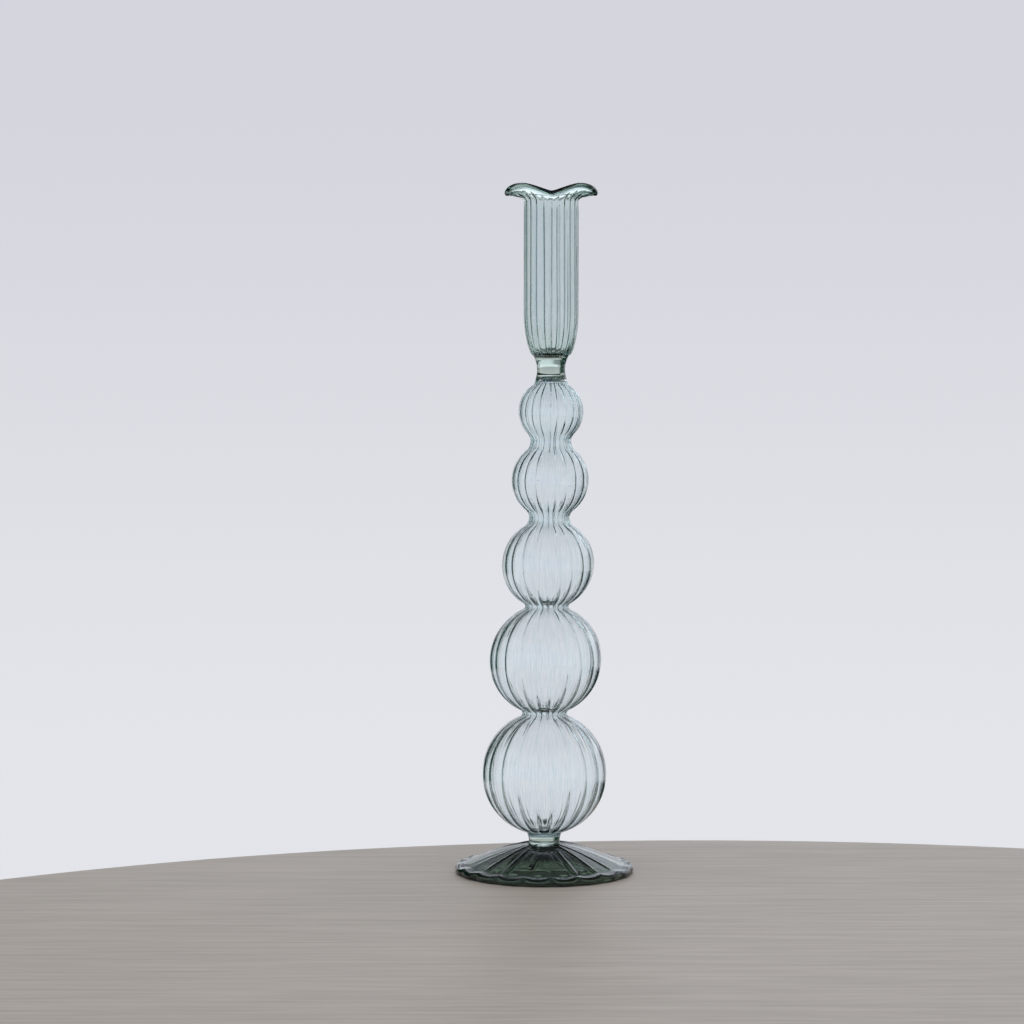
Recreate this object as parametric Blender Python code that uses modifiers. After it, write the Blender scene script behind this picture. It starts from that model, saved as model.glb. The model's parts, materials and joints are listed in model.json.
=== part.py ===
"""Tall fluted glass stem vase: a ribbed foot, five ribbed bubbles and a deep cup with a ruffled lip.

Blender 4.5, metres, +Z up. The origin is the centre of the ring that the foot stands on.
Every piece of glass is its own object. Pieces that are fused in the real vase meet here with a
gap of GAP between them.
"""
import math

import bmesh
import bpy

# Ribs and facets.
RIBS = 20
SEGMENTS = 2 * RIBS
GAP = 0.0003
MERGE_DISTANCE = 0.00002
SHARP_ANGLE = math.radians(50)

# Foot: a shallow ribbed dome with a thick rounded rim, hollow underneath.
FOOT_RADIUS = 0.0440
FOOT_TOP_Z = 0.0138
FOOT_HUB_RADIUS = 0.0082
FOOT_RIM_HEIGHT = 0.0039
FOOT_WALL = 0.0026
FOOT_RING_INNER = 0.0404
FOOT_RING_OUTER = 0.0424
FOOT_RIB_DEPTH = 0.0005
FOOT_SLOPE_POWER = 1.45
FOOT_TOP_REACH = 0.84
FOOT_UNDER_REACH = 0.90
FOOT_SLOPE_STEPS = 4
FOOT_RIM_START = math.radians(80)
FOOT_RIM_END = math.radians(-60)
FOOT_RIM_STEPS = 4

# Bubbles, from the bottom up: the height of the centre and the outer radius.
BUBBLES = (
    (0.0490, 0.0306),
    (0.1051, 0.0275),
    (0.1522, 0.0225),
    (0.1935, 0.0189),
    (0.2272, 0.0159),
)
WAIST_RADII = (0.0107, 0.0104, 0.0097, 0.0098)
BUBBLE_WALL = 0.0014
BUBBLE_RIB_DEPTH = 0.0003
STEM_BOTTOM_RADIUS = 0.0080
STEM_BOTTOM_FILLET = 0.0022
STEM_TOP_RADIUS = 0.0078
STEM_TOP_FILLET = 0.0026
STEM_DOME_RISE = 0.0022
STEM_END_FADE = 0.0040
BUBBLE_ARC_STEPS = 8
WAIST_ARC_STEPS = 2

# Solid collars: radii at the bottom, at the narrowest level and at the top.
LOWER_COLLAR_RADII = (0.0079, 0.0076, 0.0080)
UPPER_COLLAR_RADII = (0.0079, 0.0069, 0.0088)
COLLAR_STEPS = 6
CAP_STEPS = 4

# Cup: a straight ribbed tube on a rounded closed floor, opening into the lip.
CUP_FLOOR_Z = 0.2546
CUP_FLOOR_RADIUS = 0.0086
CUP_FLOOR_SAG = 0.0007
CUP_SHOULDER_Z = 0.2765
CUP_SHOULDER_POWER = 1.25
CUP_RADIUS = 0.0131
CUP_WALL = 0.0015
CUP_RIB_DEPTH = 0.0003
CUP_SHOULDER_STEPS = 6
LIP_START_Z = 0.3293
LIP_BEND_RADIUS = 0.0019
LIP_BEND_STEPS = 3
LIP_RADIUS = 0.0226
LIP_TIP_Z = 0.3320
LIP_FLAT_STEPS = 3
LIP_PETALS = 4
LIP_CREST_RISE = 0.0040
LIP_CREST_PULL = 0.0030
LIP_CREST_POWER = 1.5

# The blown stem leans a little towards +X between these two heights.
LEAN = 0.0032
LEAN_START_Z = 0.0600
LEAN_END_Z = 0.2300

# Glass colours and finish.
BUBBLE_GLASS = (0.78, 0.90, 0.89, 1.0)
FOOT_GLASS = (0.20, 0.36, 0.29, 1.0)
COLLAR_GLASS = (0.55, 0.68, 0.62, 1.0)
BUBBLE_ROUGHNESS = 0.04
COLLAR_ROUGHNESS = 0.05
FOOT_ROUGHNESS = 0.06
GLASS_TRANSMISSION = 0.9
GLASS_IOR = 1.5


def smoothstep(start, end, value):
    """Rise smoothly from 0 at start to 1 at end."""
    t = min(1.0, max(0.0, (value - start) / (end - start)))
    return t * t * (3.0 - 2.0 * t)


def lean_at(z):
    """Sideways place of the vase's axis at a height."""
    return LEAN * smoothstep(LEAN_START_Z, LEAN_END_Z, z)


def arc(centre, radius, start, end, steps):
    """Points on a circle from one angle to another, both ends included."""
    points = []
    for i in range(steps + 1):
        angle = start + (end - start) * i / steps
        points.append((centre[0] + radius * math.cos(angle), centre[1] + radius * math.sin(angle)))
    return points


def angle_from(centre, point):
    """Direction of a point as seen from a centre, in the profile's plane."""
    return math.atan2(point[1] - centre[1], point[0] - centre[0])


def waist_fillet(lower, upper, radius):
    """Fillet circle that touches two stacked spheres and leaves a waist of the given radius.

    Returns the circle's centre in the profile's plane and its own radius.
    """
    distance = upper[0] - lower[0]
    offset = (distance ** 2 + lower[1] ** 2 - upper[1] ** 2) / (2.0 * distance)
    slope = (lower[1] - upper[1]) / distance
    a = slope ** 2
    b = 2.0 * (radius + offset * slope - lower[1])
    c = radius ** 2 + offset ** 2 - lower[1] ** 2
    fillet = 2.0 * c / (-b + math.sqrt(b ** 2 - 4.0 * a * c))
    return (radius + fillet, lower[0] + offset + slope * fillet), fillet


def end_fillet(bubble, radius, fillet, side):
    """Fillet circle between a sphere and a neck of the given radius above (1) or below it (-1)."""
    rise = math.sqrt((bubble[1] + fillet) ** 2 - (radius + fillet) ** 2)
    return (radius + fillet, bubble[0] + side * rise), fillet


def stem_fillets():
    """The six fillet circles of the stem, from its bottom neck to its top neck."""
    fillets = [end_fillet(BUBBLES[0], STEM_BOTTOM_RADIUS, STEM_BOTTOM_FILLET, -1)]
    for lower, upper, radius in zip(BUBBLES, BUBBLES[1:], WAIST_RADII):
        fillets.append(waist_fillet(lower, upper, radius))
    fillets.append(end_fillet(BUBBLES[-1], STEM_TOP_RADIUS, STEM_TOP_FILLET, 1))
    return fillets


def cap(edge, rise):
    """Elliptical cap from the axis out to an edge point, its middle higher than the edge by rise."""
    points = []
    for i in range(CAP_STEPS + 1):
        angle = (math.pi / 2) * i / CAP_STEPS
        points.append((edge[0] * math.sin(angle), edge[1] + rise * math.cos(angle)))
    return points


def bubble_profile(index):
    """Outer profile of one bubble, from its upper waist down to its lower waist.

    The top bubble is closed above by a dome, and the lowest one is closed below by a flat floor.
    """
    bubble = BUBBLES[index]
    centre = (0.0, bubble[0])
    fillets = stem_fillets()
    below, below_radius = fillets[index]
    above, above_radius = fillets[index + 1]
    top_angle = angle_from(centre, above)
    bottom_angle = angle_from(centre, below)
    upper = arc(above, above_radius, math.pi, math.pi + top_angle, WAIST_ARC_STEPS)
    body = arc(centre, bubble[1], top_angle, bottom_angle, BUBBLE_ARC_STEPS)
    lower = arc(below, below_radius, math.pi + bottom_angle, math.pi, WAIST_ARC_STEPS)
    profile = upper[:-1] + body + lower[1:]
    profile[0] = (profile[0][0], profile[0][1] - GAP / 2.0)
    profile[-1] = (profile[-1][0], profile[-1][1] + GAP / 2.0)
    if index == len(BUBBLES) - 1:
        profile = cap(profile[0], STEM_DOME_RISE)[:-1] + profile
    if index == 0:
        profile.append((0.0, profile[-1][1]))
    return profile


def collar_profile(bottom_z, top_z, radii, top_sag, bottom_rise):
    """Closed waisted plug: a parabola through three radii between a dished top and a hollowed base."""
    bottom, middle, top = radii
    side = []
    for i in range(COLLAR_STEPS + 1):
        t = 1.0 - i / COLLAR_STEPS
        radius = bottom * (1 - t) * (1 - 2 * t) + 4 * middle * t * (1 - t) + top * t * (2 * t - 1)
        side.append((radius, bottom_z + (top_z - bottom_z) * t))
    dish = cap(side[0], -top_sag) if top_sag else [(0.0, top_z), side[0]]
    base = cap(side[-1], bottom_rise) if bottom_rise else [(0.0, bottom_z), side[-1]]
    return dish[:-1] + side + base[::-1][1:]


def foot_profile():
    """Closed section of the foot: over the dome, round the rim and back under the hollow.

    Along the slope t runs from 0 at the hub to 1 at the rim. The wall is twice as thick at the hub.
    """
    rim_radius = FOOT_RIM_HEIGHT / 2.0
    rim_centre = (FOOT_RADIUS - rim_radius, rim_radius)
    dome_drop = FOOT_TOP_Z - FOOT_RIM_HEIGHT
    dome_run = rim_centre[0] - FOOT_HUB_RADIUS
    top = [(0.0, FOOT_TOP_Z)]
    under = [(0.0, FOOT_TOP_Z - 2.0 * FOOT_WALL)]
    for i in range(FOOT_SLOPE_STEPS + 1):
        t = FOOT_TOP_REACH * i / FOOT_SLOPE_STEPS
        top.append((FOOT_HUB_RADIUS + dome_run * t, FOOT_TOP_Z - dome_drop * t ** FOOT_SLOPE_POWER))
        t = FOOT_UNDER_REACH * i / FOOT_SLOPE_STEPS
        height = FOOT_TOP_Z - dome_drop * t ** FOOT_SLOPE_POWER - FOOT_WALL * (2.0 - t)
        under.append((FOOT_HUB_RADIUS + dome_run * t, height))
    rim = arc(rim_centre, rim_radius, FOOT_RIM_START, FOOT_RIM_END, FOOT_RIM_STEPS)
    return top + rim + [(FOOT_RING_OUTER, 0.0), (FOOT_RING_INNER, 0.0)] + under[::-1]


def cup_profile():
    """Outer profile of the cup, from the lip's edge down to the middle of the closed floor."""
    bend_centre = (CUP_RADIUS + LIP_BEND_RADIUS, LIP_START_Z)
    profile = []
    for i in range(LIP_FLAT_STEPS):
        t = i / LIP_FLAT_STEPS
        radius = LIP_RADIUS + (bend_centre[0] - LIP_RADIUS) * t
        profile.append((radius, LIP_TIP_Z + (LIP_START_Z + LIP_BEND_RADIUS - LIP_TIP_Z) * t))
    profile += arc(bend_centre, LIP_BEND_RADIUS, math.pi / 2, math.pi, LIP_BEND_STEPS)
    for i in range(CUP_SHOULDER_STEPS + 1):
        angle = (math.pi / 2) * i / CUP_SHOULDER_STEPS
        spread = max(0.0, math.cos(angle)) ** CUP_SHOULDER_POWER
        radius = CUP_FLOOR_RADIUS + (CUP_RADIUS - CUP_FLOOR_RADIUS) * spread
        profile.append((radius, CUP_SHOULDER_Z - (CUP_SHOULDER_Z - CUP_FLOOR_Z) * math.sin(angle)))
    return profile + cap(profile[-1], -CUP_FLOOR_SAG)[::-1][1:]


def bubble_ribs(radius, angle, z):
    """Vertex move for a bubble: ridges outwards, grooves inwards, none at the stem's two ends."""
    fillets = stem_fillets()
    bottom_z, top_z = fillets[0][0][1], fillets[-1][0][1]
    fade = smoothstep(0.0, STEM_END_FADE, z - bottom_z) * smoothstep(0.0, STEM_END_FADE, top_z - z)
    return radius + BUBBLE_RIB_DEPTH * fade * math.cos(RIBS * angle), z


def foot_ribs(radius, angle, z):
    """Vertex move for the foot: radial ribs over the dome and a scalloped rim, flat underneath."""
    wave = math.cos(RIBS * angle)
    spread = min(1.0, radius / FOOT_RADIUS)
    lift = FOOT_RIB_DEPTH * wave * min(1.0, z / FOOT_RIM_HEIGHT) * spread
    return radius + FOOT_RIB_DEPTH * wave * spread ** 4, z + lift


def cup_ribs(radius, angle, z):
    """Vertex move for the cup: ribs on the tube, four raised petals on the lip."""
    reach = max(0.0, (radius - CUP_RADIUS) / (LIP_RADIUS - CUP_RADIUS)) if z >= LIP_START_Z else 0.0
    crest = abs(math.sin(LIP_PETALS * angle / 2.0))
    rib = CUP_RIB_DEPTH * math.cos(RIBS * angle) * min(1.0, radius / CUP_RADIUS)
    rise = LIP_CREST_RISE * crest * smoothstep(0.0, 1.0, reach)
    pull = LIP_CREST_PULL * crest ** LIP_CREST_POWER * reach
    return radius + rib * (1.0 - reach) - pull, z + rise


def no_ribs(radius, angle, z):
    """Vertex move for a plain turned piece."""
    return radius, z


def turned(name, profile, move, collection, material):
    """Turn a profile about Z with a Screw modifier, then move its vertices by the given rule."""
    outline = bpy.data.meshes.new(name + "_outline")
    edges = [(i, i + 1) for i in range(len(profile) - 1)]
    outline.from_pydata([(radius, 0.0, z) for radius, z in profile], edges, [])
    piece = bpy.data.objects.new(name, outline)
    collection.objects.link(piece)
    screw = piece.modifiers.new("turn", "SCREW")
    screw.steps = SEGMENTS
    screw.render_steps = SEGMENTS
    screw.use_merge_vertices = True
    screw.merge_threshold = MERGE_DISTANCE
    evaluated = piece.evaluated_get(bpy.context.evaluated_depsgraph_get())
    mesh = bpy.data.meshes.new_from_object(evaluated)
    piece.modifiers.clear()
    piece.data = mesh
    bpy.data.meshes.remove(outline)
    for vertex in mesh.vertices:
        x, y, z = vertex.co
        radius = math.hypot(x, y)
        if radius > MERGE_DISTANCE:
            angle = math.atan2(y, x)
            radius, z = move(radius, angle, z)
            x = radius * math.cos(angle)
            y = radius * math.sin(angle)
        vertex.co = (x + lean_at(z), y, z)
    clean(mesh)
    mesh.name = name
    mesh.shade_smooth()
    mesh.set_sharp_from_angle(angle=SHARP_ANGLE)
    mesh.materials.append(material)
    return piece


def clean(mesh):
    """Join the seam's vertices and drop the zero-length edges left on the axis."""
    edit = bmesh.new()
    edit.from_mesh(mesh)
    bmesh.ops.remove_doubles(edit, verts=edit.verts, dist=MERGE_DISTANCE)
    bmesh.ops.dissolve_degenerate(edit, dist=MERGE_DISTANCE, edges=edit.edges)
    edit.to_mesh(mesh)
    edit.free()


def add_wall(piece, thickness):
    """Give an open outer surface its glass thickness, inwards."""
    solidify = piece.modifiers.new("wall", "SOLIDIFY")
    solidify.thickness = thickness
    solidify.offset = -1.0
    solidify.use_even_offset = True


def glass(name, colour, roughness):
    """Tinted clear glass."""
    material = bpy.data.materials.new(name)
    material.use_nodes = True
    shader = material.node_tree.nodes["Principled BSDF"]
    shader.inputs["Base Color"].default_value = colour
    shader.inputs["Roughness"].default_value = roughness
    shader.inputs["Metallic"].default_value = 0.0
    shader.inputs["Transmission Weight"].default_value = GLASS_TRANSMISSION
    shader.inputs["IOR"].default_value = GLASS_IOR
    material.diffuse_color = colour
    return material


def build_foot(collection):
    """Ribbed foot with a flat standing ring."""
    material = glass("foot_glass", FOOT_GLASS, FOOT_ROUGHNESS)
    turned("foot", foot_profile(), foot_ribs, collection, material)


def build_collars(collection, stem_bottom_z, stem_top_z):
    """The two short solid plugs that join the stem to the foot and to the cup."""
    foot_top, cup_floor = FOOT_TOP_Z + GAP, CUP_FLOOR_Z - GAP
    lower = collar_profile(foot_top, stem_bottom_z - GAP, LOWER_COLLAR_RADII, 0.0, 0.0)
    upper = collar_profile(
        stem_top_z + GAP, cup_floor, UPPER_COLLAR_RADII, CUP_FLOOR_SAG, STEM_DOME_RISE)
    for name, profile in (("lower_collar", lower), ("upper_collar", upper)):
        material = glass(name + "_glass", COLLAR_GLASS, COLLAR_ROUGHNESS)
        turned(name, profile, no_ribs, collection, material)


def build_bubbles(collection):
    """Five ribbed bubbles, open to each other at their waists."""
    for index in range(len(BUBBLES)):
        name = f"bubble_{index + 1}"
        material = glass(name + "_glass", BUBBLE_GLASS, BUBBLE_ROUGHNESS)
        piece = turned(name, bubble_profile(index), bubble_ribs, collection, material)
        add_wall(piece, BUBBLE_WALL)


def build_cup(collection):
    """Deep ribbed cup, closed below, with a ruffled lip of four petals."""
    material = glass("mouth_cup_glass", BUBBLE_GLASS, BUBBLE_ROUGHNESS)
    piece = turned("mouth_cup", cup_profile(), cup_ribs, collection, material)
    add_wall(piece, CUP_WALL)


def main():
    """Clear the scene and build every piece."""
    for old in list(bpy.data.objects):
        bpy.data.objects.remove(old, do_unlink=True)
    collection = bpy.data.collections.new("fluted_stem_vase")
    bpy.context.scene.collection.children.link(collection)
    fillets = stem_fillets()
    build_foot(collection)
    build_collars(collection, fillets[0][0][1], fillets[-1][0][1])
    build_bubbles(collection)
    build_cup(collection)


main()
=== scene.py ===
"""Looks of the fluted glass stem vase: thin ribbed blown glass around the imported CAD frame.

Every visible piece is a closed glass body, computed ring by ring from the frame's own sizes:
ribs drawn through the wall, thicker glass at the collars, a fire-polished ruffled lip and a
folded, scalloped foot. Metres, +Z up; the front of the vase faces -Y.
"""

import json
import math

import bpy
import numpy as np
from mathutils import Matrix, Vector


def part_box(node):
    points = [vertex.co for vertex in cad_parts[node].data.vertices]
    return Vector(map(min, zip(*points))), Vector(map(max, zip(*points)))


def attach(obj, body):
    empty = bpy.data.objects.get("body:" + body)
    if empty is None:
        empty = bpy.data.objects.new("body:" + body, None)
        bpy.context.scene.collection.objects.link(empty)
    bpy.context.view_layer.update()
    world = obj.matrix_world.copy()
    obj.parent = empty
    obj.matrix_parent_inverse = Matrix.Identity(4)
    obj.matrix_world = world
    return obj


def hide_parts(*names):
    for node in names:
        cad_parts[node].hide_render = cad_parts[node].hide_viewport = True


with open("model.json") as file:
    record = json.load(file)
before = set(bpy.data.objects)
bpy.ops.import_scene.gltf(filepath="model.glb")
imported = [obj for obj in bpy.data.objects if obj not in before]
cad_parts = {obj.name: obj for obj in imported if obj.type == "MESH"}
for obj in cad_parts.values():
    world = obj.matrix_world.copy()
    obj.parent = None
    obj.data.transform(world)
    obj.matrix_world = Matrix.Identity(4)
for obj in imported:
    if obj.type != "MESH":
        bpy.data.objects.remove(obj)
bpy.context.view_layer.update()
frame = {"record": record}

# Mesh fineness.
AROUND = 400
ARC_STEP = math.radians(2.5)

# Ribs: narrow ridges that run from the foot to the lip.
RIBS = 20
RIB_PITCH = 2.0 * math.pi / RIBS
RIB_SEED = 7
RIB_SHIFT = 0.07
RIB_WEAKEST = 0.75
RIB_STRONGEST = 1.10
RIB_DRIFT_WIDTH = 0.05
RIB_DRIFT_TURNS = 38.0
RIB_OUTER_WIDTH = 0.33
RIB_INNER_WIDTH = 0.125
FOOT_RIB_WIDTH = 0.10
FOOT_FRONT_RIB = 0.1
STEM_RIB_ANGLES = np.radians((-10.0, -12.0, -19.0, -27.0, -23.0))
CUP_RIB_ANGLE = math.radians(-3.0)
FOOT_RIB_ANGLE = math.radians(4.0)

# Striae: fine drawn lines between the ribs, as counts round the axis and heights in metres.
STRIA_TURNS = (41, 67, 97)
STRIA_WANDER = 1.3
STRIA_WANDER_TURNS = 21.0
STRIA_HEIGHT = 0.000012
NECK_STRIA_HEIGHT = 0.00004
NECK_STRIA_SHIFT = 0.006
COLLAR_STRIA_HEIGHT = 0.00002

# Sizes that the frame doesn't state, in metres.
JOINT_GAP = 0.00002
BUBBLE_WALLS = (0.00050, 0.00055, 0.00060, 0.00070, 0.00085)
NECK_GLASS = 0.0006
NECK_RIBS = 0.6
NECK_EDGE = (0.0095, 0.0165)
STEM_END_FADE = 0.0040
AXIS_FADE = 0.0040
BUBBLE_RIB_DEPTH = 0.0003
BUBBLE_TRIM = 0.00015
BUBBLE_RIB_OUTER = 0.00032
BUBBLE_RIB_INNER = 0.00042
SMALL_RIB_POWER = 0.35
CUP_RIB_OUTER = 0.00040
CUP_RIB_INNER = 0.00060
CUP_RIB_INNER_WIDTH = 0.17
FOOT_RIB_TOP = 0.0006
FOOT_RIB_UNDER = 0.0003
FOOT_SIDE_RIBS = 0.25
FOOT_SIDE_EDGE = (0.80, 0.93)
FOOT_RIB_FADE = 0.0015
FOOT_RIB_END = 0.0385
FOOT_SHORT_RIB_END = 0.0310
WAIST_RADII = (0.0107, 0.0104, 0.0097, 0.0098)
STEM_BOTTOM_RADIUS = 0.0080
STEM_BOTTOM_FILLET = 0.0022
STEM_TOP_RADIUS = 0.0078
STEM_TOP_FILLET = 0.0026
DOME_RISE = 0.0022
STEM_FLOOR_RISE = 0.0012
LOWER_COLLAR_RADII = (0.0079, 0.0076, 0.0080)
UPPER_COLLAR_RADII = (0.0079, 0.0069, 0.0088)
LEAN = 0.0032
LEAN_START_Z = 0.0600
LEAN_END_Z = 0.2300

FOOT_RIM_HEIGHT = 0.0039
FOOT_HUB_RADIUS = 0.0082
FOOT_OUTER_RADIUS = 0.0438
FOOT_RING_INNER = 0.0404
FOOT_RING_OUTER = 0.0424
FOOT_TOP_POWER = 1.35
FOOT_UNDER_POWER = 1.45
FOOT_UNDER_REACH = 0.92
FOOT_HUB_WALL = 0.00455
FOOT_WALL_TAPER = 0.00143
FOOT_LEDGE = 0.0392
FOOT_LEDGE_DROP = 0.0002
FOOT_LEDGE_INSET = 0.0003
FOOT_BEAD_START = math.radians(-50)
FOOT_BEAD_END = math.radians(85)
FOOT_EDGE = (0.0365, 0.042)
FOOT_SCALLOP = 0.0006
FOOT_SCALLOP_LEVEL = 0.6
FOOT_WAVE = 0.0008

CUP_WALL = 0.0010
CUP_FLOOR_THICKNESS = 0.0014
CUP_HEEL = 0.0006
CUP_RADIUS = 0.0131
CUP_FLOOR_RADIUS = 0.0086
CUP_SHOULDER_Z = 0.2765
CUP_SHOULDER_POWER = 1.25
CUP_FLOOR_SAG = 0.0007
LIP_START_Z = 0.3289
LIP_BEND_REACH = 0.0028
LIP_BEND_HEIGHT = 0.0023
LIP_BEND_POWER = 0.93
LIP_RADIUS = 0.0228
LIP_RIM = 0.0012
LIP_BEAD_ANGLE = math.radians(115)
LIP_TIP_Z = 0.3325
LIP_SIDE_LIFT = 0.0010
LIP_SIDE_SWELL = 0.3
LIP_PETALS = 4
LIP_CREST_RISE = 0.0042
LIP_CREST_PULL = 0.0030
LIP_CREST_POWER = 1.5
LIP_CREST_ROUNDING = 0.01
LIP_CREST_LEVEL = 0.06
LIP_SWELL_EDGE = (0.6, 0.95)
LIP_RIB_FADE = 0.45
LIP_RIB_FADE_EDGE = (-0.0035, 0.0010)
LIP_RIB_END = 0.8
CUP_FLOOR_FADE = (0.004, 0.009)

# Glass: absorption per metre for red, green and blue.
PALE_AQUA = (44.0, 8.0, 8.0)
CUP_AQUA = (95.0, 50.0, 64.0)
DEEP_AQUA = (44.0, 34.0, 43.0)
BOTTLE_GREEN = (345.0, 288.0, 350.0)
GLASS_IOR = 1.5
MERIDIAN_RISE = 3.0
DRAWN_LINE_SCALE = 42.0
DRAWN_LINE_DARK = (0.90, 0.93, 0.95)
SEED_SCALE = 70.0
SEED_RADIUS = 0.0003
SEED_DARK = (0.22, 0.30, 0.26)
LIP_TINT = (0.86, 0.91, 0.88)
SMEAR_SCALE = 60.0
WAVE_SCALE = 150.0
WAVE_STRETCH = (1.0, 1.0, 0.22)
WAVE_HEIGHT = 0.0004

# Camera, table and light.
CAMERA_PLACE = (-0.0159, -1.49, 0.267)
CAMERA_AIM = (-0.0159, 0.0, 0.1778)
CAMERA_LENS = 107.0
TABLE_RADIUS = 0.58
TABLE_BACK_EDGE = 0.094
TABLE_SHIFT = 0.08
TABLE_THICKNESS = 0.025
GRAIN_DARK = (0.42, 0.372, 0.328)
GRAIN_LIGHT = (0.54, 0.482, 0.430)
TABLE_GRAIN = (3.0, 60.0, 60.0)
TABLE_LIGHT_SIZE = 1.6
TABLE_LIGHT_HEIGHT = 1.6
TABLE_LIGHT_POWER = 14.0

# Studio: colours, then stops of (azimuth in degrees, colour), then heights in degrees.
PANEL = (0.770, 0.780, 0.820)
DARK_SIDE = (0.007, 0.058, 0.035)
CAMERA_SIDE = (0.34, 0.44, 0.66)
PALE_SIDE = (0.44, 0.45, 0.46)
CEILING = (0.12, 0.12, 0.125)
FLOOR_DARK = (0.020, 0.034, 0.028)
FLOOR_PALE = (0.60, 0.60, 0.62)
LEFT_STOPS = ((-180, CAMERA_SIDE), (-112, CAMERA_SIDE), (-101, PANEL), (-79, PANEL), (-76, DARK_SIDE))
RIGHT_STOPS = ((62, PALE_SIDE), (158, PALE_SIDE), (180, CAMERA_SIDE))
MIDDLE_BAND = LEFT_STOPS + (
    (-29, DARK_SIDE), (-25, PANEL), (54, PANEL), (60, PALE_SIDE), (108, PALE_SIDE), (122, PANEL),
    (148, PANEL), (158, CAMERA_SIDE), (180, CAMERA_SIDE))
LOWER_BAND = (
    (-180, FLOOR_DARK), (-108, FLOOR_DARK), (-103, PANEL), (-77, PANEL), (-73, FLOOR_DARK),
    (-62, FLOOR_DARK), (-58, FLOOR_PALE), (-32, FLOOR_PALE), (-28, FLOOR_DARK), (118, FLOOR_DARK),
    (122, PANEL), (148, PANEL), (152, FLOOR_DARK), (180, FLOOR_DARK))
WINDOW_LEFT = (0.42, 0.46, 0.50)
WINDOW_RIGHT = (1.15, 1.24, 1.38)
WINDOW_BAND = LEFT_STOPS + (
    (-32, DARK_SIDE), (-27, WINDOW_LEFT), (-10, WINDOW_LEFT), (2, WINDOW_RIGHT),
    (54, WINDOW_RIGHT)) + RIGHT_STOPS
STRIP_LEFT = (0.66, 0.71, 0.77)
STRIP_RIGHT = (1.30, 1.38, 1.48)
STRIP_BAND = LEFT_STOPS + (
    (-32, DARK_SIDE), (-27, STRIP_LEFT), (-14, STRIP_RIGHT), (54, STRIP_RIGHT)) + RIGHT_STOPS
LOWER_EDGE = (-13.0, -10.6)
WINDOW_EDGE = (6.0, 9.5)
STRIP_EDGE = (12.5, 16.0)
UPPER_EDGE = (32.0, 46.0)
SHADE_EDGE = (-9.0, 6.0)
SHADE = (0.86, 0.85, 0.88)


def smoothstep(start, end, value):
    """Rise smoothly from 0 at start to 1 at end, for numbers and arrays."""
    t = np.clip((np.asarray(value, float) - start) / (end - start), 0.0, 1.0)
    return t * t * (3.0 - 2.0 * t)


def lean_at(z):
    """Sideways place of the vase's axis at a height."""
    return LEAN * smoothstep(LEAN_START_Z, LEAN_END_Z, z)


# ---------------------------------------------------------------- profiles

def arc(centre, radius, start, end):
    """Points on a circle from one angle to another, both ends included, about ARC_STEP apart."""
    steps = max(3, math.ceil(abs(end - start) / ARC_STEP))
    angles = np.linspace(start, end, steps + 1)
    return [(centre[0] + radius * math.cos(a), centre[1] + radius * math.sin(a)) for a in angles]


def line(start, end, steps):
    """Evenly spaced points from start to end, both included."""
    return [(start[0] + (end[0] - start[0]) * t, start[1] + (end[1] - start[1]) * t)
            for t in np.linspace(0.0, 1.0, steps + 1)]


def waist_fillet(lower, upper, radius):
    """Circle that touches two stacked spheres and leaves a waist of that radius: centre, radius."""
    distance = upper[0] - lower[0]
    offset = (distance ** 2 + lower[1] ** 2 - upper[1] ** 2) / (2.0 * distance)
    slope = (lower[1] - upper[1]) / distance
    a = slope ** 2
    b = 2.0 * (radius + offset * slope - lower[1])
    c = radius ** 2 + offset ** 2 - lower[1] ** 2
    fillet = 2.0 * c / (-b + math.sqrt(b ** 2 - 4.0 * a * c))
    return (radius + fillet, lower[0] + offset + slope * fillet), fillet


def end_fillet(bubble, radius, fillet, side):
    """Circle between a sphere and a neck of that radius above (side 1) or below it (side -1)."""
    rise = math.sqrt((bubble[1] + fillet) ** 2 - (radius + fillet) ** 2)
    return (radius + fillet, bubble[0] + side * rise), fillet


def read_bubbles():
    """Centre height and outer radius of each bubble, from the record's hollows and the CAD boxes."""
    hollows = {o["name"]: o["box_m"] for o in frame["record"]["physics"]["openings"]}
    found = []
    for number in range(1, 6):
        low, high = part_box(f"bubble_{number}")
        hollow_low, hollow_high = hollows[f"bubble_{number}_inside"]
        centre_z = (hollow_low[2] + hollow_high[2]) / 2.0
        found.append((centre_z, (high.y - low.y) / 2.0 - BUBBLE_RIB_DEPTH - BUBBLE_TRIM))
    return found


BUBBLES = read_bubbles()


def stem_fillets():
    """The six fillet circles of the stem, from its bottom neck to its top neck."""
    fillets = [end_fillet(BUBBLES[0], STEM_BOTTOM_RADIUS, STEM_BOTTOM_FILLET, -1)]
    for lower, upper, radius in zip(BUBBLES, BUBBLES[1:], WAIST_RADII):
        fillets.append(waist_fillet(lower, upper, radius))
    fillets.append(end_fillet(BUBBLES[-1], STEM_TOP_RADIUS, STEM_TOP_FILLET, 1))
    return fillets


FILLETS = stem_fillets()


def bubble_side(index, inset, close_bottom):
    """One surface of a bubble, from its lower to its upper waist, moved inwards by inset.

    A closed bottom runs on round the sphere to the axis and leaves its fillet out.
    """
    centre = (0.0, BUBBLES[index][0])
    radius = BUBBLES[index][1] - inset
    (below, below_radius), (above, above_radius) = FILLETS[index], FILLETS[index + 1]
    low = math.atan2(below[1] - centre[1], below[0])
    high = math.atan2(above[1] - centre[1], above[0])
    points = []
    if close_bottom:
        low = -math.pi / 2
    else:
        points += arc(below, below_radius + inset, math.pi, math.pi + low)[:-1]
    points += arc(centre, radius, low, high)
    points += arc(above, above_radius + inset, math.pi + high, math.pi)[1:]
    return points


# ---------------------------------------------------------------- ribs

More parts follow.
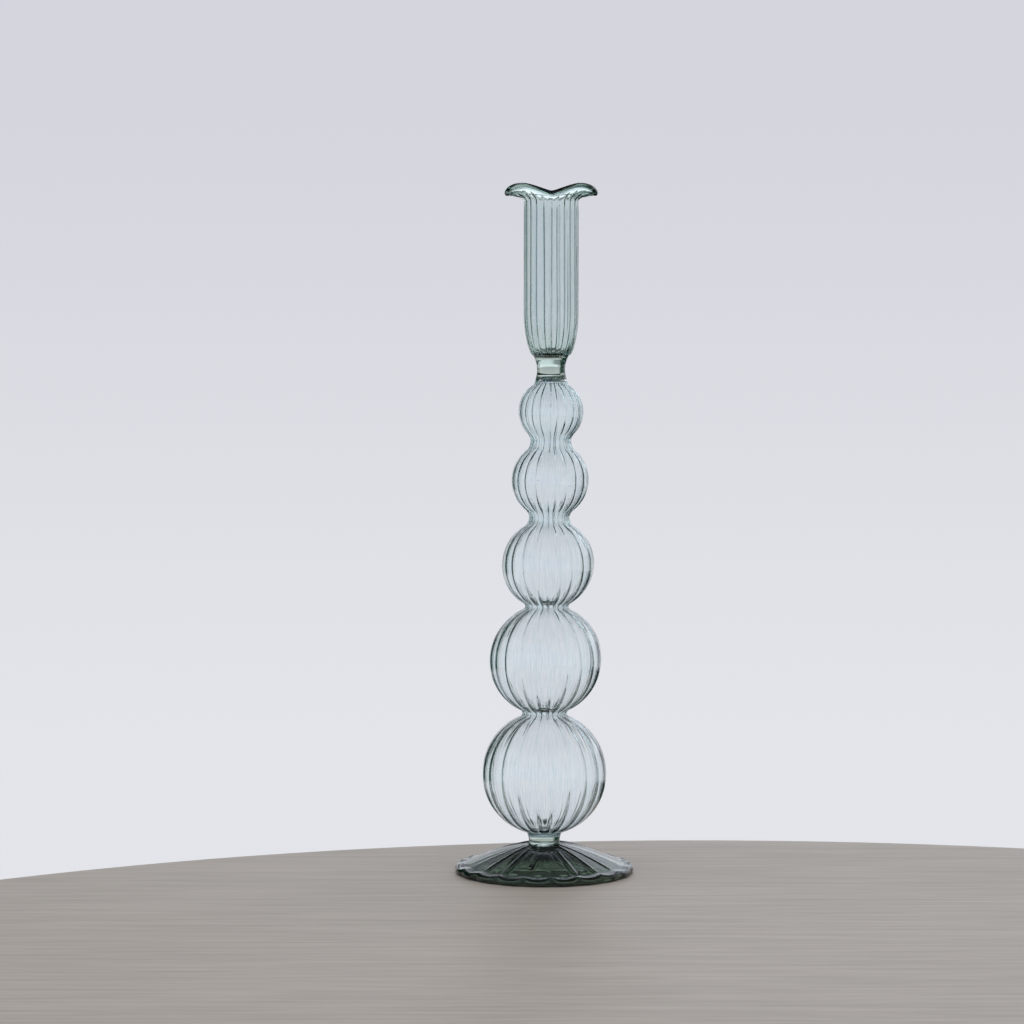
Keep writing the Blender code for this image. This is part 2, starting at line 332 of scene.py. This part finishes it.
def rib_pattern():
    """How far each rib is off its even place and how strong it is: hand work, never quite even."""
    chance = np.random.default_rng(RIB_SEED)
    offsets = RIB_PITCH * chance.uniform(-RIB_SHIFT, RIB_SHIFT, RIBS)
    strengths = chance.uniform(RIB_WEAKEST, RIB_STRONGEST, RIBS)
    drift = chance.uniform(0.0, 2.0 * math.pi, RIBS)
    return offsets, strengths, drift


RIB_OFFSETS, RIB_STRENGTHS, RIB_DRIFT = rib_pattern()


def stem_angle(z):
    """Turn of the stem's ribs at a height: they twist slowly as they climb."""
    return np.interp(z, [bubble[0] for bubble in BUBBLES], STEM_RIB_ANGLES)


def off_rib(angle, place):
    """Signed angle from a rib's place, between -pi and pi."""
    return (angle - place + math.pi) % (2.0 * math.pi) - math.pi


def rib_relief(angle, z, first, width):
    """Height of the ribs, 0 between them and about 1 on a crest; first is the angle of one rib."""
    relief = np.zeros(np.broadcast(angle, z).shape)
    for i in range(RIBS):
        drift = RIB_DRIFT_WIDTH * RIB_PITCH * np.sin(z * RIB_DRIFT_TURNS + RIB_DRIFT[i])
        place = first + RIB_PITCH * i + RIB_OFFSETS[i] + drift
        off = off_rib(angle, place)
        relief = relief + RIB_STRENGTHS[i] * np.exp(-(off / (width * RIB_PITCH)) ** 2)
    return relief


def foot_relief(angle, radius):
    """Flat-topped ribs of the foot: the front one is nearly worn away and its left neighbour is short."""
    relief = np.zeros(np.broadcast(angle, radius).shape)
    for i in range(RIBS):
        off = off_rib(angle, FOOT_RIB_ANGLE + RIB_PITCH * i + RIB_OFFSETS[i])
        end = FOOT_SHORT_RIB_END if i == RIBS - 1 else FOOT_RIB_END
        strength = FOOT_FRONT_RIB if i == 0 else RIB_STRENGTHS[i]
        length = 1.0 - smoothstep(end - FOOT_RIB_FADE, end, radius)
        relief = relief + strength * length * np.exp(-(off / (FOOT_RIB_WIDTH * RIB_PITCH)) ** 4)
    return relief


def striae(angle, z):
    """Fine drawn lines in the glass, as a height from about -1 to 1."""
    total = np.zeros(np.broadcast(angle, z).shape)
    for i, count in enumerate(STRIA_TURNS):
        wander = STRIA_WANDER * np.sin(z * STRIA_WANDER_TURNS + i)
        total = total + np.sin(count * angle + 1.7 * i + wander) / len(STRIA_TURNS)
    return total


# ---------------------------------------------------------------- meshes

def glass_body(name, section, shape, closed):
    """Closed body from a section swept round the axis.

    section is a list of (radius, z, side): side is 1 on the outer skin and -1 on the inner one.
    shape moves the swept grid. closed joins the last ring to the first; otherwise the section's
    ends lie on the axis and become poles.
    """
    rings = np.array(section, float)
    angle = np.linspace(0.0, 2.0 * math.pi, AROUND, endpoint=False)[None, :]
    radius, z, side = (rings[:, i:i + 1] for i in range(3))
    radius, z = shape(radius, angle, z + 0.0 * angle, side)
    x = radius * np.cos(angle) + lean_at(z)
    y = radius * np.sin(angle)
    grid = np.stack([x, y, z], axis=-1)
    count = len(rings)
    faces = []
    if closed:
        points = grid.reshape(-1, 3)
        pairs = [(i, (i + 1) % count) for i in range(count)]
        offset = 0
    else:
        poles = grid[[0, -1]].mean(axis=1)
        points = np.vstack([poles, grid[1:-1].reshape(-1, 3)])
        pairs = [(i, i + 1) for i in range(count - 3)]
        offset = 2
    ring = np.arange(AROUND)
    after = (ring + 1) % AROUND
    for low, high in pairs:
        a, b = offset + low * AROUND, offset + high * AROUND
        faces.append(np.stack([a + ring, a + after, b + after, b + ring], axis=1))
    quads = np.vstack(faces).tolist()
    if not closed:
        last = offset + (count - 3) * AROUND
        quads += [(0, offset + int(j), offset + int(i)) for i, j in zip(after, ring)]
        quads += [(1, last + int(j), last + int(i)) for i, j in zip(ring, after)]
    mesh = bpy.data.meshes.new(name)
    mesh.from_pydata(points.tolist(), [], quads)
    mesh.validate()
    mesh.shade_smooth()
    add_meridian(mesh)
    piece = bpy.data.objects.new(name, mesh)
    bpy.context.scene.collection.objects.link(piece)
    return piece


def add_meridian(mesh):
    """Store for every vertex its direction round the axis and, much compressed, its height."""
    places = np.empty(3 * len(mesh.vertices))
    mesh.vertices.foreach_get("co", places)
    places = places.reshape(-1, 3)
    turn = np.arctan2(places[:, 1], places[:, 0] - lean_at(places[:, 2]))
    values = np.stack([np.cos(turn), np.sin(turn), MERIDIAN_RISE * places[:, 2]], axis=1)
    attribute = mesh.attributes.new("meridian", "FLOAT_VECTOR", "POINT")
    attribute.data.foreach_set("vector", values.ravel())


def finish_piece(piece, node, material):
    """Give a piece its material and its place in the frame."""
    piece.data.materials.append(material)
    piece.data.set_sharp_from_angle(angle=math.radians(55))
    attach(piece, "root")
    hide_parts(node)


def with_side(points, side):
    """Mark points as lying on the outer (1) or the inner (-1) skin."""
    return [(radius, z, side) for radius, z in points]


# ---------------------------------------------------------------- pieces

def neck_shape(radius):
    """How far a place is into a neck: 1 at a waist, 0 on a bubble's body."""
    return 1.0 - smoothstep(NECK_EDGE[0], NECK_EDGE[1], radius)


def bubble_shape(index):
    """Ribs and striae on both skins of a bubble, strongest where the glass was gathered."""
    size = (BUBBLES[index][1] / BUBBLES[0][1]) ** SMALL_RIB_POWER
    bottom_z, top_z = FILLETS[0][0][1], FILLETS[-1][0][1]

    def shape(radius, angle, z, side):
        front = angle + math.pi / 2.0
        body = smoothstep(0.0, AXIS_FADE, radius)
        ends = smoothstep(0.0, STEM_END_FADE, z - bottom_z) * smoothstep(0.0, STEM_END_FADE, top_z - z)
        outer = size * BUBBLE_RIB_OUTER * ends * rib_relief(front, z, stem_angle(z), RIB_OUTER_WIDTH)
        neck = neck_shape(radius)
        height = size * BUBBLE_RIB_INNER * (1.0 + NECK_RIBS * neck)
        inner = -height * rib_relief(front, z, stem_angle(z), RIB_INNER_WIDTH) - NECK_GLASS * neck
        fine = (STRIA_HEIGHT + NECK_STRIA_HEIGHT * neck_shape(radius - NECK_STRIA_SHIFT)) * striae(angle, z)
        moved = radius + body * (np.where(side > 0, outer, inner) + fine)
        return moved, z
    return shape


def make_bubbles(material):
    """The five ribbed bubbles: the lowest is closed below and the top one above."""
    last = len(BUBBLES) - 1
    for index in range(len(BUBBLES)):
        outer = bubble_side(index, 0.0, False)
        wall = BUBBLE_WALLS[index]
        inner = bubble_side(index, wall, index == 0)
        outer[0] = (outer[0][0], outer[0][1] + JOINT_GAP / 2)
        outer[-1] = (outer[-1][0], outer[-1][1] - JOINT_GAP / 2)
        if index > 0:
            inner[0] = (inner[0][0], inner[0][1] + JOINT_GAP / 2)
        if index < last:
            inner[-1] = (inner[-1][0], inner[-1][1] - JOINT_GAP / 2)
        if index == 0:
            floor = dish(outer[0], STEM_FLOOR_RISE)
            section = with_side(floor[:-1] + outer, 1) + with_side(inner[::-1], -1)
        elif index == last:
            top = outer[-1]
            dome = dish(top, DOME_RISE)[::-1]
            under = dish((inner[-1][0], inner[-1][1] - wall), DOME_RISE)
            section = with_side(under + inner[-2::-1], -1) + with_side(outer[:-1] + dome, 1)
        else:
            section = with_side(outer, 1) + with_side(inner[::-1], -1)
        closed = 0 < index < last
        piece = glass_body(f"bubble_{index + 1}_blown", section, bubble_shape(index), closed)
        finish_piece(piece, f"bubble_{index + 1}", material)


def dish(edge, rise):
    """Elliptical cap from the axis out to an edge point, its middle higher than the edge by rise."""
    return [(edge[0] * math.sin(a), edge[1] + rise * math.cos(a)) for a in np.linspace(0.0, math.pi / 2, 14)]


def plain_shape(radius, angle, z, side):
    """A collar: smooth solid glass with the faintest drawn lines."""
    body = smoothstep(0.0, AXIS_FADE, radius)
    return radius + body * COLLAR_STRIA_HEIGHT * striae(angle, z), z


def make_collars(material):
    """The two solid plugs, waisted, fitted to what they join."""
    bottom_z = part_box("foot")[1].z
    low_top = FILLETS[0][0][1] - JOINT_GAP
    side = collar_side(bottom_z + JOINT_GAP, low_top, LOWER_COLLAR_RADII)
    base = line((0.0, side[0][1]), side[0], 5)
    section = with_side(base[:-1] + side + dish(side[-1], STEM_FLOOR_RISE)[-2::-1], 1)
    finish_piece(glass_body("lower_collar_plug", section, plain_shape, False), "lower_collar", material)
    up_bottom = FILLETS[-1][0][1] + JOINT_GAP
    cup_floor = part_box("mouth_cup")[0].z + CUP_FLOOR_SAG
    side = collar_side(up_bottom, cup_floor - JOINT_GAP, UPPER_COLLAR_RADII)
    hollow = dish(side[0], DOME_RISE)
    seat = dish(side[-1], -CUP_FLOOR_SAG)
    section = with_side(hollow[:-1] + side + seat[-2::-1], 1)
    finish_piece(glass_body("upper_collar_plug", section, plain_shape, False), "upper_collar", material)


def collar_side(bottom_z, top_z, radii):
    """Waisted side of a collar from bottom to top: a parabola through three radii."""
    bottom, middle, top = radii
    points = []
    for t in np.linspace(0.0, 1.0, 25):
        radius = bottom * (1 - t) * (1 - 2 * t) + 4 * middle * t * (1 - t) + top * t * (2 * t - 1)
        points.append((radius, bottom_z + (top_z - bottom_z) * t))
    return points


def foot_shape(radius, angle, z, side):
    """Ribs over the foot's dome, fading into the scalloped rim; the standing ring stays flat."""
    front = angle + math.pi / 2.0
    scallop = np.abs(np.sin(RIBS * (front - FOOT_RIB_ANGLE) / 2.0)) - FOOT_SCALLOP_LEVEL
    height = np.clip(z / FOOT_RIM_HEIGHT, 0.0, 1.0)
    sides = smoothstep(FOOT_SIDE_EDGE[0], FOOT_SIDE_EDGE[1], np.abs(np.sin(front))) * (1.0 - FOOT_SIDE_RIBS)
    tall = np.where(side > 0, FOOT_RIB_TOP * (1.0 - sides), -FOOT_RIB_UNDER)
    lift = tall * foot_relief(front, radius) * smoothstep(0.0, 0.010, radius)
    edge = smoothstep(FOOT_EDGE[0], FOOT_EDGE[1], radius)
    return radius + edge * FOOT_SCALLOP * scallop, z + height * (lift - edge * FOOT_WAVE * scallop)


def make_foot(material):
    """Domed foot with a folded round rim, hollow underneath."""
    top_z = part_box("foot")[1].z
    rim = FOOT_RIM_HEIGHT / 2.0
    rim_centre = (FOOT_OUTER_RADIUS - rim, rim)
    drop = top_z - FOOT_RIM_HEIGHT
    run = rim_centre[0] - FOOT_HUB_RADIUS
    under = []
    top = []
    ledge = FOOT_LEDGE - FOOT_HUB_RADIUS
    for t in np.linspace(0.0, 1.0, 50):
        height = top_z - (drop - FOOT_LEDGE_DROP) * t ** FOOT_TOP_POWER
        top.append((FOOT_HUB_RADIUS + ledge * t, height))
    ledge_end = (rim_centre[0] - FOOT_LEDGE_INSET, FOOT_RIM_HEIGHT - FOOT_LEDGE_DROP)
    top += line((FOOT_LEDGE, FOOT_RIM_HEIGHT + FOOT_LEDGE_DROP), ledge_end, 11)[1:]
    for t in np.linspace(0.0, FOOT_UNDER_REACH, 40):
        wall = FOOT_HUB_WALL - FOOT_WALL_TAPER * t
        under.append((FOOT_HUB_RADIUS + run * t, top_z - drop * t ** FOOT_UNDER_POWER - wall))
    bead = arc(rim_centre, rim, FOOT_BEAD_START, FOOT_BEAD_END)
    ring = line((FOOT_RING_INNER, 0.0), (FOOT_RING_OUTER, 0.0), 4)
    hollow = line((0.0, under[0][1]), under[0], 6)[:-1] + under + line(under[-1], ring[0], 5)[1:-1]
    skin = ring + bead + top[::-1] + line(top[0], (0.0, top_z), 6)[1:]
    piece = glass_body("foot_folded", with_side(hollow, -1) + with_side(skin, 1), foot_shape, False)
    finish_piece(piece, "foot", material)


def cup_shape(radius, angle, z, side):
    """Ribs on the tube, petals on the lip."""
    reach = np.where(z >= LIP_START_Z, (radius - CUP_RADIUS) / (LIP_RADIUS - CUP_RADIUS), 0.0)
    reach = np.clip(reach, 0.0, 1.2)
    crest = np.sqrt(np.sin(LIP_PETALS * angle / 2.0) ** 2 + LIP_CREST_ROUNDING) - LIP_CREST_LEVEL
    front = angle + math.pi / 2.0
    body = smoothstep(CUP_FLOOR_FADE[0], CUP_FLOOR_FADE[1], radius)
    outer = CUP_RIB_OUTER * rib_relief(front, z, CUP_RIB_ANGLE, RIB_OUTER_WIDTH)
    inner = -CUP_RIB_INNER * rib_relief(front, z, CUP_RIB_ANGLE, CUP_RIB_INNER_WIDTH)
    fine = STRIA_HEIGHT * striae(angle, z)
    fade_start, fade_end = LIP_START_Z + LIP_RIB_FADE_EDGE[0], LIP_START_Z + LIP_RIB_FADE_EDGE[1]
    body = body * (1.0 - LIP_RIB_FADE * smoothstep(fade_start, fade_end, z))
    body = body * (1.0 - smoothstep(0.0, LIP_RIB_END, reach))
    moved = radius + body * (np.where(side > 0, outer, inner) + fine)
    moved = moved - LIP_CREST_PULL * crest ** LIP_CREST_POWER * reach
    sideways = np.cos(angle) ** 4
    swollen = smoothstep(LIP_SWELL_EDGE[0], LIP_SWELL_EDGE[1], reach)
    swell = LIP_SIDE_SWELL * sideways * swollen * (z - LIP_TIP_Z)
    lift = LIP_CREST_RISE * crest + LIP_SIDE_LIFT * sideways
    return moved, z + swell + lift * smoothstep(0.0, 1.0, reach)


def lip_bend(inset):
    """Curve from the upright tube to the flat lip, starting and ending without a kink."""
    reach, height = LIP_BEND_REACH + inset, LIP_BEND_HEIGHT + inset
    points = []
    for a in np.linspace(0.0, math.pi / 2, 36):
        out = 1.0 - max(0.0, math.cos(a)) ** LIP_BEND_POWER
        rise = math.sin(a) ** LIP_BEND_POWER
        points.append((CUP_RADIUS - inset + reach * out, LIP_START_Z + height * rise))
    return points


def make_cup(material):
    """Deep ribbed cup, closed and rounded below, with a ruffled fire-polished lip."""
    floor_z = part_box("mouth_cup")[0].z + CUP_FLOOR_SAG
    outer = dish((CUP_FLOOR_RADIUS, floor_z), -CUP_FLOOR_SAG)[:-1]
    inner_floor = floor_z + CUP_FLOOR_THICKNESS
    inner = [(r, inner_floor - CUP_FLOOR_SAG) for r in np.linspace(0.0, 0.005, 6)]
    for a in np.linspace(math.pi / 2, 0.0, 40):
        spread = max(0.0, math.cos(a)) ** CUP_SHOULDER_POWER
        radius = CUP_FLOOR_RADIUS + (CUP_RADIUS - CUP_FLOOR_RADIUS) * spread
        outer.append((radius, CUP_SHOULDER_Z - (CUP_SHOULDER_Z - floor_z) * math.sin(a)))
        inset = CUP_WALL + CUP_HEEL * (1.0 - spread) ** 2
        inner.append((radius - inset, CUP_SHOULDER_Z - (CUP_SHOULDER_Z - inner_floor) * math.sin(a)))
    inner_radius = CUP_RADIUS - CUP_WALL
    outer += line((CUP_RADIUS, CUP_SHOULDER_Z), (CUP_RADIUS, LIP_START_Z), 40)[1:-1]
    inner += line((inner_radius, CUP_SHOULDER_Z), (inner_radius, LIP_START_Z), 40)[1:-1]
    outer += lip_bend(0.0)
    inner += lip_bend(CUP_WALL)
    edge = arc((LIP_RADIUS - LIP_RIM, LIP_TIP_Z), LIP_RIM, -LIP_BEAD_ANGLE, LIP_BEAD_ANGLE)
    outer += line(outer[-1], edge[0], 16)[1:-1]
    inner += line(inner[-1], edge[-1], 16)[1:-1]
    section = with_side(outer + edge, 1) + with_side(inner[::-1], -1)
    piece = glass_body("mouth_cup_blown", section, cup_shape, False)
    finish_piece(piece, "mouth_cup", material)


# ---------------------------------------------------------------- materials

def seeds(nodes, links, clear):
    """Colour of the skin with a few small dark seeds, the air specks of hand-blown glass."""
    place = nodes.new("ShaderNodeTexCoord")
    cells = nodes.new("ShaderNodeTexVoronoi")
    cells.inputs["Scale"].default_value = SEED_SCALE
    edge = nodes.new("ShaderNodeMapRange")
    edge.inputs["From Min"].default_value = 0.6 * SEED_RADIUS * SEED_SCALE
    edge.inputs["From Max"].default_value = SEED_RADIUS * SEED_SCALE
    mix = nodes.new("ShaderNodeMix")
    mix.data_type = "RGBA"
    mix.inputs[6].default_value = SEED_DARK + (1.0,)
    links.new(place.outputs["Object"], cells.inputs["Vector"])
    links.new(cells.outputs["Distance"], edge.inputs["Value"])
    links.new(edge.outputs["Result"], mix.inputs["Factor"])
    links.new(clear, mix.inputs[7])
    return mix.outputs[2]


def lip_tint(nodes, links, clear):
    """Colour of the skin, greener where the lip's glass was gathered and folded out."""
    place = nodes.new("ShaderNodeTexCoord")
    split = nodes.new("ShaderNodeSeparateXYZ")
    height = nodes.new("ShaderNodeMapRange")
    height.inputs["From Min"].default_value = LIP_START_Z + 0.0012
    height.inputs["From Max"].default_value = LIP_START_Z + 0.0034
    mix = nodes.new("ShaderNodeMix")
    mix.data_type = "RGBA"
    mix.blend_type = "MULTIPLY"
    mix.inputs[7].default_value = LIP_TINT + (1.0,)
    links.new(place.outputs["Object"], split.inputs["Vector"])
    links.new(split.outputs["Z"], height.inputs["Value"])
    links.new(height.outputs["Result"], mix.inputs["Factor"])
    links.new(clear, mix.inputs[6])
    return mix.outputs[2]


def glass(name, absorption, roughness, waviness, seeded):
    """Blown glass: clear skin with faint waves and smears, colour from the depth of the glass."""
    material = bpy.data.materials.new(name)
    material.use_nodes = True
    nodes = material.node_tree.nodes
    links = material.node_tree.links
    shader = nodes["Principled BSDF"]
    meridian = nodes.new("ShaderNodeAttribute")
    meridian.attribute_name = "meridian"
    drawn = nodes.new("ShaderNodeTexNoise")
    drawn.inputs["Scale"].default_value = DRAWN_LINE_SCALE
    drawn.inputs["Detail"].default_value = 2.0
    tint = nodes.new("ShaderNodeValToRGB")
    tint.color_ramp.elements[0].position = 0.35
    tint.color_ramp.elements[0].color = DRAWN_LINE_DARK + (1.0,)
    tint.color_ramp.elements[1].position = 0.55
    tint.color_ramp.elements[1].color = (1.0, 1.0, 1.0, 1.0)
    links.new(meridian.outputs["Vector"], drawn.inputs["Vector"])
    links.new(drawn.outputs["Fac"], tint.inputs["Fac"])
    skin = tint.outputs["Color"]
    if seeded:
        skin = seeds(nodes, links, skin)
    links.new(lip_tint(nodes, links, skin), shader.inputs["Base Color"])
    shader.inputs["Transmission Weight"].default_value = 1.0
    shader.inputs["IOR"].default_value = GLASS_IOR
    place = nodes.new("ShaderNodeTexCoord")
    smears = nodes.new("ShaderNodeTexNoise")
    smears.inputs["Scale"].default_value = SMEAR_SCALE
    smears.inputs["Detail"].default_value = 3.0
    range_node = nodes.new("ShaderNodeMapRange")
    range_node.inputs["From Min"].default_value = 0.35
    range_node.inputs["From Max"].default_value = 0.75
    range_node.inputs["To Min"].default_value = roughness * 0.3
    range_node.inputs["To Max"].default_value = roughness
    links.new(place.outputs["Object"], smears.inputs["Vector"])
    links.new(smears.outputs["Fac"], range_node.inputs["Value"])
    links.new(range_node.outputs["Result"], shader.inputs["Roughness"])
    stretch = nodes.new("ShaderNodeMapping")
    stretch.inputs["Scale"].default_value = WAVE_STRETCH
    waves = nodes.new("ShaderNodeTexNoise")
    waves.inputs["Scale"].default_value = WAVE_SCALE
    waves.inputs["Detail"].default_value = 2.0
    bump = nodes.new("ShaderNodeBump")
    bump.inputs["Strength"].default_value = waviness
    bump.inputs["Distance"].default_value = WAVE_HEIGHT
    links.new(place.outputs["Object"], stretch.inputs["Vector"])
    links.new(stretch.outputs["Vector"], waves.inputs["Vector"])
    links.new(waves.outputs["Fac"], bump.inputs["Height"])
    links.new(bump.outputs["Normal"], shader.inputs["Normal"])
    strongest = max(absorption) * 1.02
    depth = nodes.new("ShaderNodeVolumeAbsorption")
    depth.inputs["Density"].default_value = strongest
    depth.inputs["Color"].default_value = tuple(1.0 - a / strongest for a in absorption) + (1.0,)
    links.new(depth.outputs["Volume"], nodes["Material Output"].inputs["Volume"])
    return material


def table_material():
    """Pale matt table top with fine grain along X."""
    material = bpy.data.materials.new("pale_table")
    material.use_nodes = True
    nodes = material.node_tree.nodes
    links = material.node_tree.links
    shader = nodes["Principled BSDF"]
    shader.inputs["Roughness"].default_value = 0.55
    place = nodes.new("ShaderNodeTexCoord")
    stretch = nodes.new("ShaderNodeMapping")
    stretch.inputs["Scale"].default_value = TABLE_GRAIN
    grain = nodes.new("ShaderNodeTexNoise")
    grain.inputs["Scale"].default_value = 6.0
    grain.inputs["Detail"].default_value = 6.0
    ramp = nodes.new("ShaderNodeValToRGB")
    ramp.color_ramp.elements[0].color = GRAIN_DARK + (1.0,)
    ramp.color_ramp.elements[1].color = GRAIN_LIGHT + (1.0,)
    ramp.color_ramp.elements[0].position = 0.3
    ramp.color_ramp.elements[1].position = 0.7
    links.new(place.outputs["Object"], stretch.inputs["Vector"])
    links.new(stretch.outputs["Vector"], grain.inputs["Vector"])
    links.new(grain.outputs["Fac"], ramp.inputs["Fac"])
    links.new(ramp.outputs["Color"], shader.inputs["Base Color"])
    return material


# ---------------------------------------------------------------- stage

def make_table():
    """Round pale table top that ends a little behind the vase."""
    bpy.ops.mesh.primitive_cylinder_add(
        vertices=256, radius=TABLE_RADIUS, depth=TABLE_THICKNESS,
        location=(TABLE_SHIFT, TABLE_BACK_EDGE - TABLE_RADIUS, -TABLE_THICKNESS / 2 - 0.0001))
    table = bpy.context.object
    table.name = "table_top"
    bevel = table.modifiers.new("edge", "BEVEL")
    bevel.width = 0.002
    bevel.segments = 3
    table.data.materials.append(table_material())


def azimuth_band(nodes, links, turn, stops):
    """Colour round the horizon, from stops of (azimuth in degrees, colour); 0 lies behind the vase."""
    ramp = nodes.new("ShaderNodeValToRGB")
    elements = ramp.color_ramp.elements
    while len(elements) < len(stops):
        elements.new(0.5)
    for element, (azimuth, colour) in zip(elements, stops):
        element.position = (azimuth + 180.0) / 360.0
        element.color = colour + (1.0,)
    links.new(turn, ramp.inputs["Fac"])
    return ramp.outputs["Color"]


def make_world():
    """Studio: a wide pale panel behind the vase, brighter bands above it, darker sides and ceiling."""
    world = bpy.data.worlds.new("studio")
    bpy.context.scene.world = world
    world.use_nodes = True
    nodes = world.node_tree.nodes
    links = world.node_tree.links
    place = nodes.new("ShaderNodeTexCoord")
    split = nodes.new("ShaderNodeSeparateXYZ")
    links.new(place.outputs["Generated"], split.inputs["Vector"])
    azimuth = nodes.new("ShaderNodeMath")
    azimuth.operation = "ARCTAN2"
    links.new(split.outputs["X"], azimuth.inputs[0])
    links.new(split.outputs["Y"], azimuth.inputs[1])
    turn = nodes.new("ShaderNodeMapRange")
    turn.inputs["From Min"].default_value = -math.pi
    turn.inputs["From Max"].default_value = math.pi
    links.new(azimuth.outputs["Value"], turn.inputs["Value"])

    def blend(edge, first, second):
        """Go over from the first colour to the second between two heights above the horizon."""
        factor = nodes.new("ShaderNodeMapRange")
        factor.interpolation_type = "SMOOTHSTEP"
        factor.inputs["From Min"].default_value = math.sin(math.radians(edge[0]))
        factor.inputs["From Max"].default_value = math.sin(math.radians(edge[1]))
        links.new(split.outputs["Z"], factor.inputs["Value"])
        mix = nodes.new("ShaderNodeMix")
        mix.data_type = "RGBA"
        links.new(factor.outputs["Result"], mix.inputs["Factor"])
        for socket, value in ((mix.inputs[6], first), (mix.inputs[7], second)):
            if isinstance(value, tuple):
                socket.default_value = value + (1.0,)
            else:
                links.new(value, socket)
        return mix.outputs[2]

    middle = azimuth_band(nodes, links, turn.outputs["Result"], MIDDLE_BAND)
    lower = azimuth_band(nodes, links, turn.outputs["Result"], LOWER_BAND)
    window = azimuth_band(nodes, links, turn.outputs["Result"], WINDOW_BAND)
    shaded = nodes.new("ShaderNodeMix")
    shaded.data_type = "RGBA"
    shaded.blend_type = "MULTIPLY"
    shaded.inputs["Factor"].default_value = 1.0
    links.new(middle, shaded.inputs[6])
    links.new(blend(SHADE_EDGE, (1.0, 1.0, 1.0), SHADE), shaded.inputs[7])
    strip = azimuth_band(nodes, links, turn.outputs["Result"], STRIP_BAND)
    middle = blend(WINDOW_EDGE, blend(LOWER_EDGE, lower, shaded.outputs[2]), strip)
    middle = blend(STRIP_EDGE, middle, window)
    colour = blend(UPPER_EDGE, middle, CEILING)
    links.new(colour, nodes["Background"].inputs["Color"])


def make_table_light():
    """Large soft overhead light for the table; the glass itself mirrors only the studio."""
    data = bpy.data.lights.new("table_light", "AREA")
    data.shape = "DISK"
    data.size = TABLE_LIGHT_SIZE
    data.energy = TABLE_LIGHT_POWER
    data.color = (1.0, 0.97, 0.93)
    light = bpy.data.objects.new("table_light", data)
    light.location = (0.0, -0.2, TABLE_LIGHT_HEIGHT)
    light.visible_glossy = False
    light.visible_transmission = False
    light.visible_camera = False
    bpy.context.scene.collection.objects.link(light)


def make_camera():
    """Long lens a little above the middle of the vase, looking slightly down."""
    data = bpy.data.cameras.new("camera")
    data.lens = CAMERA_LENS
    data.sensor_width = 36.0
    camera = bpy.data.objects.new("camera", data)
    bpy.context.scene.collection.objects.link(camera)
    camera.location = CAMERA_PLACE
    direction = np.array(CAMERA_AIM) - np.array(CAMERA_PLACE)
    camera.rotation_euler = (math.pi / 2 + math.atan2(direction[2], direction[1]), 0.0, 0.0)
    bpy.context.scene.camera = camera


def set_colour():
    """Plain display colours and enough light bounces for stacked glass."""
    scene = bpy.context.scene
    scene.view_settings.view_transform = "Standard"
    scene.cycles.max_bounces = 24
    scene.cycles.transmission_bounces = 24


aqua = glass("aqua_glass", PALE_AQUA, 0.02, 0.05, True)
cup_glass = glass("cup_glass", CUP_AQUA, 0.02, 0.05, True)
collar_glass = glass("collar_glass", DEEP_AQUA, 0.02, 0.05, False)
foot_glass = glass("foot_glass", BOTTLE_GREEN, 0.015, 0.03, False)
make_bubbles(aqua)
make_collars(collar_glass)
make_foot(foot_glass)
make_cup(cup_glass)
make_table()
make_world()
make_table_light()
make_camera()
set_colour()

bpy.context.view_layer.update()
